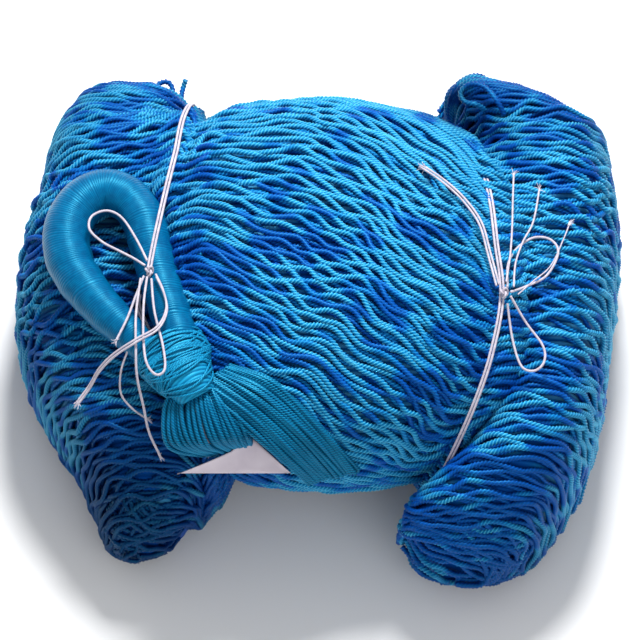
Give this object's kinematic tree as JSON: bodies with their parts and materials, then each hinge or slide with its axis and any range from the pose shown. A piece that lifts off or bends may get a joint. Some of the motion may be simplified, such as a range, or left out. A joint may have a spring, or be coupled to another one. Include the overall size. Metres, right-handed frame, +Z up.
{
  "type": "hay net",
  "caption": "Knotted blue twine net folded into a tied hank, with a whipped hanging eye, arm cords, string bows and a plain paper tag.",
  "frame": {"origin": "on the ground plane under the middle of the bundle's box", "axes": "+X along the cords of the net to the right, -Y the front with the two lobes, +Z up"},
  "size_m": [0.284, 0.242, 0.1315],
  "materials": {
    "net_twine": "silky twisted nylon twine, variegated cyan and royal blue",
    "whipping_thread": "fine wound nylon thread with a satin sheen",
    "arm_cord": "fine twisted nylon cord, teal blue",
    "tie_string": "off-white soft string with frayed ends",
    "tag_card": "plain matte card, unprinted"
  },
  "bodies": {
    "bundle": {"belly_wrap": "net_twine", "left_fold": "net_twine", "right_fold": "net_twine", "core_fold_upper": "net_twine", "core_fold_lower": "net_twine", "selvage_cord": "net_twine", "edge_loop": "net_twine", "arm_cords_left": "arm_cord", "arm_cords_right": "arm_cord", "inner_eye_core": "arm_cord", "inner_eye_whipping": "whipping_thread", "inner_throat": "arm_cord", "inner_arm_cords": "arm_cord", "left_tie_band": "tie_string", "right_tie_band": "tie_string", "right_tie_knot": "tie_string"},
    "eye": {"eye_core": "arm_cord", "eye_whipping": "whipping_thread", "throat_seizing": "arm_cord", "left_tie_knot": "tie_string", "left_bow_loop_upper": "tie_string"},
    "left_bow": {"left_bow_loop_lower": "tie_string", "left_tail_double": "tie_string", "left_tail_short": "tie_string", "left_tail_thin": "tie_string", "left_tail_long": "tie_string"},
    "right_bow_upper": {"right_bow_loop_upper": "tie_string", "right_tail_double": "tie_string", "right_tail_up": "tie_string", "right_tail_side": "tie_string", "right_tail_thin": "tie_string"},
    "right_bow_lower": {"right_bow_loop_lower": "tie_string"},
    "tag": {"paper_tag": "tag_card"}
  },
  "joints": [
    {"name": "eye_flip", "type": "hinge", "parent": "bundle", "child": "eye", "pos_m": [-0.062, -0.05, 0.11], "axis": [-0.2425, 0.9701, 0], "range_deg": [0, 50]},
    {"name": "left_bow_lift", "type": "hinge", "parent": "eye", "child": "left_bow", "pos_m": [-0.078, -0.0067, 0.121], "axis": [-1, 0, 0], "range_deg": [0, 40]},
    {"name": "right_bow_upper_lift", "type": "hinge", "parent": "bundle", "child": "right_bow_upper", "pos_m": [0.087, -0.017, 0.119], "axis": [1, 0, 0], "range_deg": [0, 35]},
    {"name": "right_bow_lower_lift", "type": "hinge", "parent": "bundle", "child": "right_bow_lower", "pos_m": [0.087, -0.017, 0.119], "axis": [-1, 0, 0], "range_deg": [0, 45]},
    {"name": "tag_pull", "type": "slide", "parent": "bundle", "child": "tag", "axis": [0, -0.6429, -0.7659], "range_m": [0, 0.018]}
  ]
}
